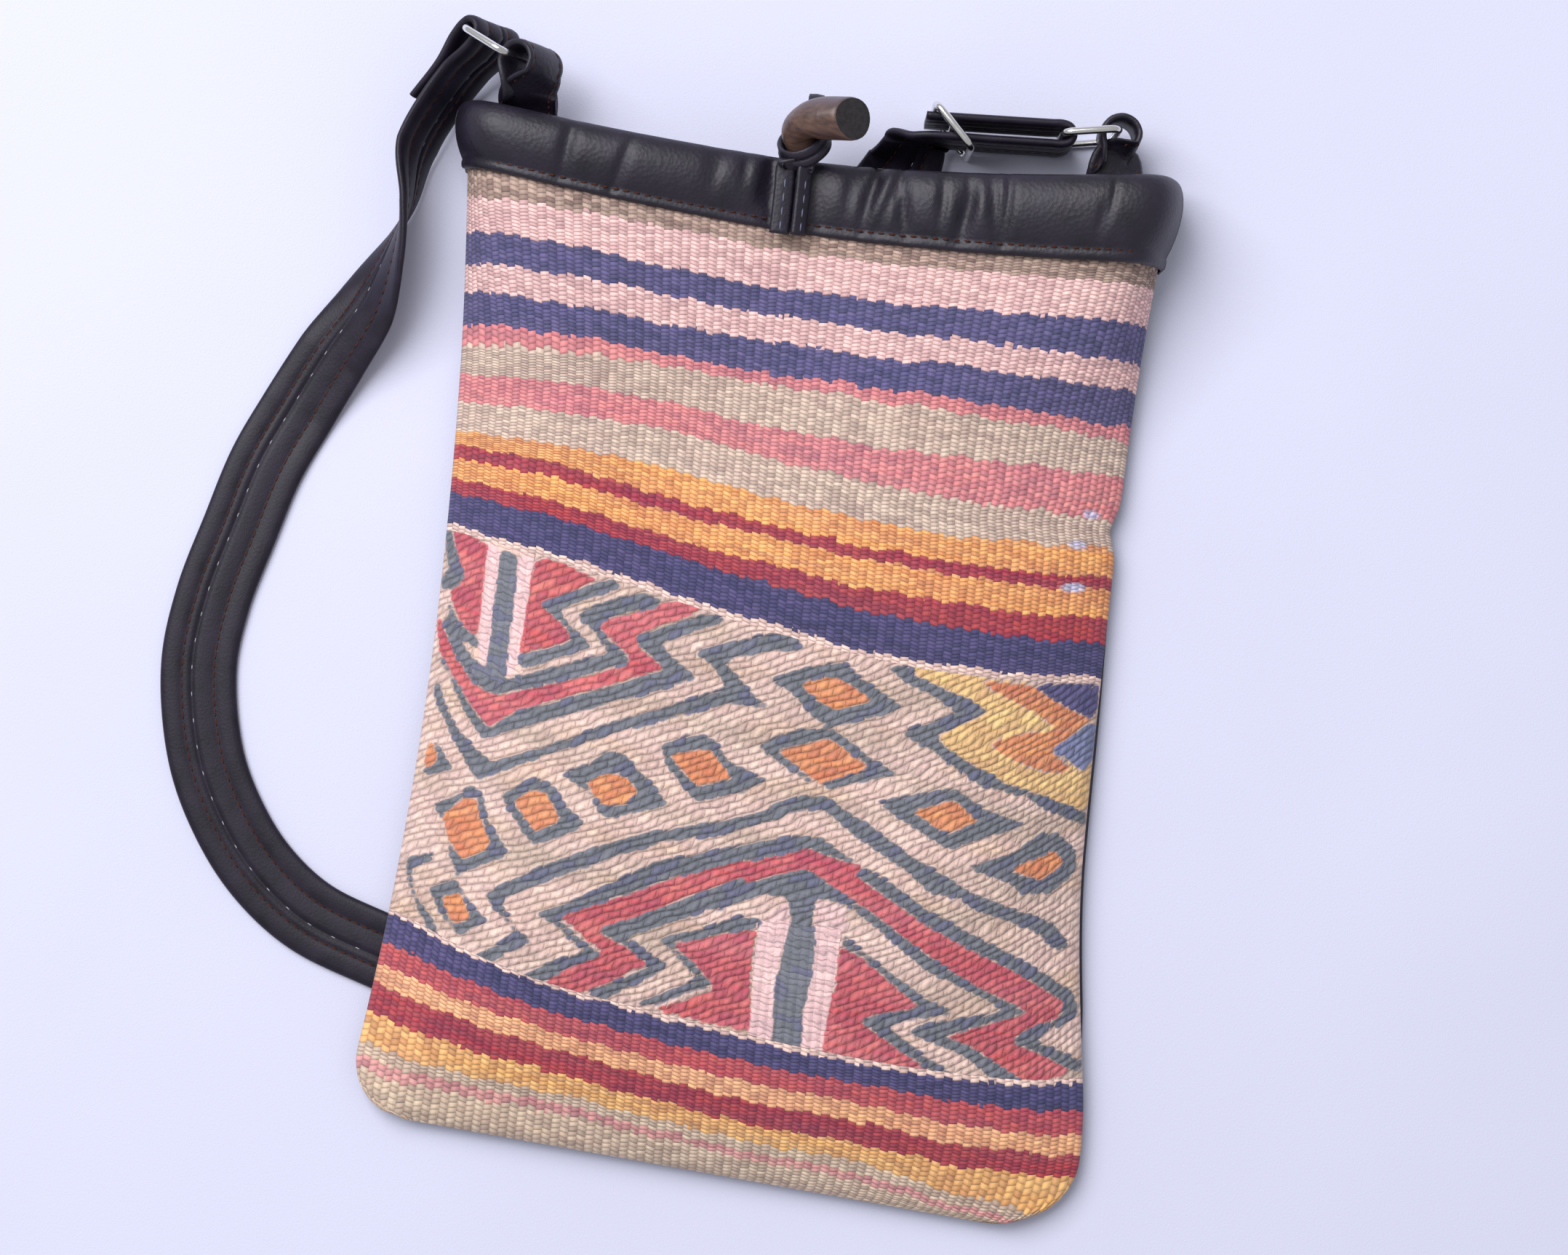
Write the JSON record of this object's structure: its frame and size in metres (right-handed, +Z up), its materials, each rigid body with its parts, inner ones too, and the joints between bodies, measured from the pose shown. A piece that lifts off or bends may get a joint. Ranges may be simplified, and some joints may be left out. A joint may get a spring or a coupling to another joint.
{
  "type": "kilim crossbody bag",
  "caption": "Flat crossbody bag with a woven kilim front, padded leather mouth band, horn toggle closure and adjustable leather strap, lying on its back.",
  "frame": {"origin": "on the floor plane under the middle of the bag, on its flat back", "axes": "+Y towards the mouth, +Z up out of the kilim face, +X to the right seen from above"},
  "size_m": [0.3022, 0.3555, 0.051],
  "materials": {
    "kilim": "woven wool, matte",
    "leather": "soft sheen, pebbled",
    "lining": "plain cotton, matte",
    "horn": "polished horn",
    "nickel": "bright nickel"
  },
  "bodies": {
    "bag": {"front_panel": "kilim", "back_panel": "leather", "lining": "lining", "mouth_band": "leather", "left_tab": "leather", "right_tab": "leather", "strap": "leather", "toggle_tie": "leather", "closure_loop": "leather"},
    "left_ring": {"left_ring": "nickel"},
    "right_ring": {"right_ring": "nickel"},
    "slide": {"strap_slide": "nickel"},
    "toggle": {"toggle": "horn"}
  },
  "joints": [
    {"name": "left_ring_swing", "type": "hinge", "parent": "bag", "child": "left_ring", "pos_m": [-0.0931, 0.1709, 0.0281], "axis": [0.5, 0, -0.866], "range_deg": [-25, 25], "deforming": ["strap"]},
    {"name": "right_ring_swing", "type": "hinge", "parent": "bag", "child": "right_ring", "pos_m": [0.0906, 0.1704, 0.01545], "axis": [0, 0, 1], "range_deg": [-25, 25], "deforming": ["strap"]},
    {"name": "slide_travel", "type": "slide", "parent": "bag", "child": "slide", "axis": [-0.9988, -0.0499, 0], "range_m": [-0.018, 0.004]},
    {"name": "toggle_turn", "type": "hinge", "parent": "bag", "child": "toggle", "pos_m": [-0.0055, 0.1545, 0.031], "axis": [-0.4208, 0.6211, 0.6612], "range_deg": [-35, 35]}
  ]
}
